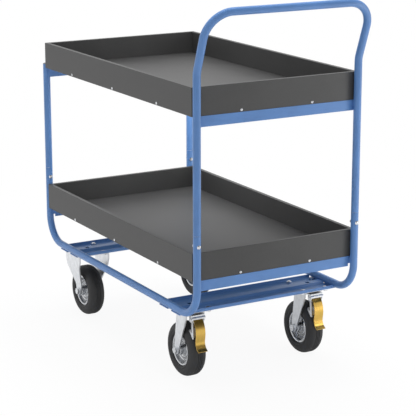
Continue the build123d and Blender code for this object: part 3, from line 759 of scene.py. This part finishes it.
class TROLLEY_OT_press_rims(bpy.types.Operator):
    """Press the steel rims: rolled flange, two rounded rings and a turned hub with its seals"""

    bl_idname = "trolley.press_rims"
    bl_label = "Press Rims"

    def execute(self, context):
        settings = context.scene.trolley
        zinc = settings.finishes.zinc
        steel = zinc_plate("bright_zinc_rim", zinc, rough=0.20, lines_strength=0.0, dulling=0.4)
        front, rear = middle_of("rim_front_left"), middle_of("rim_rear_left")
        # Painted shade in the rims' valleys and painted highlight on their crests
        paint_valley_shade(steel, (front.x + rear.x) / 2, (rear.x - front.x) / 2, front.z)
        plastic = bpy.data.materials["moulded_polyethylene_grey"]
        for wheel in WHEELS:
            node = f"rim_{wheel}"
            low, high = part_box(node)
            hub = (high.y - low.y) / 2
            outline, roundings = mirrored(*self.half_section((high.z - low.z) / 2, hub))
            rim = turned(outline, roundings, settings.sizes.wheel_steps)
            bmesh.ops.translate(rim, verts=rim.verts[:], vec=middle_of(node))
            finish_piece(node + "_pressed", rim, steel, f"wheel_{wheel}", [node])
            seals = self.hub_seals(hub)
            bmesh.ops.translate(seals, verts=seals.verts[:], vec=middle_of(node))
            finish_piece(f"hub_seals_{wheel}", seals, plastic, f"wheel_{wheel}")
        return {"FINISHED"}

    def half_section(self, flange, hub):
        """Half the rim's section from the bore to the tyre's seat, with its roundings."""
        lip, disc = 0.0200, 0.0090
        ring_height, ring_reach = 0.0036, 0.0025
        groove_depth, edge, sheet, seat_drop = 0.0014, 0.0014, 0.0020, 0.0022
        half = [(BORE_RADIUS, hub), (HUB_RADIUS, hub), (HUB_RADIUS, disc)]
        for ring in RING_RADII:
            half += [(ring - ring_reach, disc), (ring, disc + ring_height), (ring + ring_reach, disc)]
        half += [
            (DISH_RADIUS, disc),
            (LIP_RADIUS, lip),
            (GROOVE_RADIUS, lip - groove_depth),
            (flange - edge, lip),
            (flange, lip),
            (flange, lip - sheet),
            (TYRE_SEAT_RADIUS, lip - seat_drop),
        ]
        # Corners by their place in the half section, each with the radius and steps of its rounding
        hub_edges, rings, dish_edge = (1, 2), (3, 4, 5, 6, 7, 8), (9,)
        flange_face, flange_edge = (10, 11, 12), (13,)
        roundings = [
            (rings, 0.0014, 4),
            (dish_edge, 0.0025, 4),
            (hub_edges, 0.0012, 3),
            (flange_face, 0.0006, 3),
            (flange_edge, 0.0006, 2),
        ]
        return half, roundings

    def hub_seals(self, hub):
        """A plastic ring in each end of the hub."""
        inner, outer = 0.0104, 0.0148
        face, back = hub + 0.0005, hub - 0.002
        rounding = ((0, 1), 0.0003, 2)
        ring = [(inner, face), (outer, face), (outer, back), (inner, back)]
        bm = turned(ring, [rounding], steps=48)
        copy = bmesh.ops.duplicate(bm, geom=bm.verts[:] + bm.edges[:] + bm.faces[:])["geom"]
        bmesh.ops.scale(bm, vec=(1, -1, 1), verts=verts_of(copy))
        return bm


class TROLLEY_OT_set_stage(bpy.types.Operator):
    """Set the pale floor, the white room, the softboxes and the camera"""

    bl_idname = "trolley.set_stage"
    bl_label = "Set Stage"

    def execute(self, context):
        stage = context.scene.trolley.stage
        self.lay_floor(stage)
        self.light_room(context, stage)
        self.hang_softboxes(stage)
        self.stand_camera(context, stage)
        context.scene.view_settings.view_transform = "Standard"
        return {"FINISHED"}

    def seen_rays(self, tree):
        """Rays that see the stage itself: straight from the camera, mirrored or passed through."""
        path = add_node(tree, "ShaderNodeLightPath")
        seen = path.outputs["Is Camera Ray"]
        for kind in ("Is Glossy Ray", "Is Transmission Ray"):
            inputs = {0: seen, 1: path.outputs[kind]}
            seen = add_node(tree, "ShaderNodeMath", inputs, operation="MAXIMUM").outputs[0]
        return seen

    def lay_floor(self, stage):
        """A pale floor that keeps the shadow near the object and is plain white away from it."""
        pale = (0.9, 0.9, 0.9, 1)
        near, far = 0.8, 2.2
        material = bpy.data.materials.new("pale_studio_floor")
        material.use_nodes = True
        tree = material.node_tree
        tree.nodes.clear()
        matte = add_node(tree, "ShaderNodeBsdfDiffuse", {"Color": pale})
        white = add_node(tree, "ShaderNodeEmission", {"Color": WHITE, "Strength": 1.0})
        coords = add_node(tree, "ShaderNodeTexCoord").outputs["Object"]
        away = add_node(tree, "ShaderNodeVectorMath", {0: coords}, operation="LENGTH").outputs["Value"]
        # Metal shows more of the shadow, so the casters on the far side are greyer
        in_metal = add_node(tree, "ShaderNodeLightPath").outputs["Is Glossy Ray"]
        glows = {0: in_metal, 2: stage.floor_glow, 3: stage.mirror_glow}
        least = add_node(tree, "ShaderNodeMix", glows, data_type="FLOAT").outputs[0]
        fade = {"From Min": near, "From Max": far, "To Min": least}
        glow = add_range(tree, away, fade, interpolation_type="SMOOTHSTEP")
        share = add_node(tree, "ShaderNodeMath", {0: self.seen_rays(tree), 1: glow}, operation="MULTIPLY")
        mix = add_node(
            tree,
            "ShaderNodeMixShader",
            {0: share.outputs[0], 1: matte.outputs["BSDF"], 2: white.outputs["Emission"]},
        )
        add_node(tree, "ShaderNodeOutputMaterial", {"Surface": mix.outputs["Shader"]})
        bm = bmesh.new()
        bmesh.ops.create_grid(bm, x_segments=4, y_segments=4, size=stage.floor_size)
        floor = new_object("studio_floor", mesh_from("studio_floor", bm, material))

    def light_room(self, context, stage):
        """A white room with a grey flag over the handle end, which metal shows and which lights nothing."""
        flag_way, flag_edge, flag_core = (0.55, 0.2, 0.81), 0.6, 0.88
        world = bpy.data.worlds.new("white_room")
        context.scene.world = world
        world.use_nodes = True
        tree = world.node_tree
        tree.nodes.clear()
        lit = add_node(tree, "ShaderNodeBackground", {"Color": WHITE, "Strength": stage.ambient})
        way = add_node(tree, "ShaderNodeTexCoord").outputs["Generated"]
        towards = add_node(tree, "ShaderNodeVectorMath", {0: way, 1: flag_way}, operation="DOT_PRODUCT")
        fade = {"From Min": flag_edge, "From Max": flag_core, "To Min": 1.0, "To Max": stage.flag}
        room = add_range(tree, towards.outputs["Value"], fade, interpolation_type="SMOOTHSTEP")
        seen = add_node(tree, "ShaderNodeBackground", {"Color": WHITE, "Strength": room})
        mix = add_node(
            tree,
            "ShaderNodeMixShader",
            {0: self.seen_rays(tree), 1: lit.outputs["Background"], 2: seen.outputs["Background"]},
        )
        add_node(tree, "ShaderNodeOutputWorld", {"Surface": mix.outputs["Shader"]})

    def hang_softboxes(self, stage):
        """A strip beside the rear post, a softbox overhead, one over the upper tray and two panels."""
        middle = (0, 0, 0.55)
        beside_post, overhead = (1.05, 0.9, 0.62), (-0.6, 0.4, 4.6)
        key = self.hang("key_softbox", beside_post, (0.35, 1.2), stage.key_power, middle)
        key.visible_glossy = True
        self.hang("top_softbox", overhead, (3.2, 3.2), stage.top_power, middle)
        low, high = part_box("upper_floor")
        over_tray = (high.x - 0.08, -0.12, high.z + 0.16)
        far_wall = (low.x, 0.08, high.z + 0.04)
        tray = self.hang("tray_softbox", over_tray, (0.24, 0.08), stage.tray_power, far_wall)
        tray.data.spread = math.radians(70)
        # A soft panel under each tray fills the shade there, as the room in the photograph did;
        # the one under the upper tray stands towards the far corner
        below = 0.012
        for tier, (along, across), size, power in (
            ("upper", (-0.19, 0.07), (0.50, 0.32), stage.upper_fill),
            ("lower", (0.0, 0.0), (0.86, 0.46), stage.lower_fill),
        ):
            low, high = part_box(f"{tier}_floor")
            place = ((low.x + high.x) / 2 + along, (low.y + high.y) / 2 + across, low.z - below)
            self.hang(f"{tier}_fill", place, size, power)

    def hang(self, name, place, size, power, target=None):
        """Hang a lamp that camera and metal don't see; it faces its target, or else straight down."""
        lamp = bpy.data.lights.new(name, "AREA")
        lamp.shape = "RECTANGLE"
        lamp.size, lamp.size_y = size
        lamp.energy = power
        box = new_object(name, lamp)
        box.location = place
        if target:
            aim = Vector(target) - Vector(place)
            box.rotation_mode = "QUATERNION"
            box.rotation_quaternion = aim.to_track_quat("-Z", "Y")
        box.visible_camera = False
        box.visible_glossy = False
        return box

    def stand_camera(self, context, stage):
        """Stand the camera as it was fitted to the photograph, pitched and without shift."""
        camera = bpy.data.cameras.new("photo_camera")
        camera.sensor_width = 36.0
        camera.lens = stage.lens
        camera.clip_start = 0.05
        camera.clip_end = 200.0
        around, up = stage.azimuth, stage.elevation
        back = Vector((math.sin(around) * math.cos(up), -math.cos(around) * math.cos(up), math.sin(up)))
        stand = new_object("photo_camera", camera)
        stand.location = stage.camera_place
        stand.rotation_mode = "QUATERNION"
        stand.rotation_quaternion = (-back).to_track_quat("-Z", "Y")
        context.scene.camera = stand


class VIEW3D_PT_trolley(bpy.types.Panel):
    """Lists the trolley's sizes, finishes and steps"""

    bl_label = "Table Trolley"
    bl_idname = "VIEW3D_PT_trolley"
    bl_space_type = "VIEW_3D"
    bl_region_type = "UI"
    bl_category = "Trolley"

    def draw(self, context):
        settings = context.scene.trolley
        for group in (settings.finishes, settings.sizes, settings.stage):
            box = self.layout.box()
            for name in group.__annotations__:
                box.prop(group, name)
        for step in STEPS:
            self.layout.operator(step.bl_idname)


STEPS = (
    TROLLEY_OT_coat_frame,
    TROLLEY_OT_lay_welds,
    TROLLEY_OT_face_trays,
    TROLLEY_OT_plate_steel,
    TROLLEY_OT_drive_screws,
    TROLLEY_OT_finish_pedals,
    TROLLEY_OT_mould_tyres,
    TROLLEY_OT_press_rims,
    TROLLEY_OT_set_stage,
)
CLASSES = (TrolleyFinishes, TrolleySizes, TrolleyStage, TrolleySettings, *STEPS, VIEW3D_PT_trolley)


def register():
    for cls in CLASSES:
        bpy.utils.register_class(cls)
    bpy.types.Scene.trolley = PointerProperty(type=TrolleySettings)


def unregister():
    del bpy.types.Scene.trolley
    for cls in reversed(CLASSES):
        bpy.utils.unregister_class(cls)


def main():
    register()
    for step in STEPS:
        area, name = step.bl_idname.split(".")
        getattr(getattr(bpy.ops, area), name)()


if __name__ == "__main__":
    main()
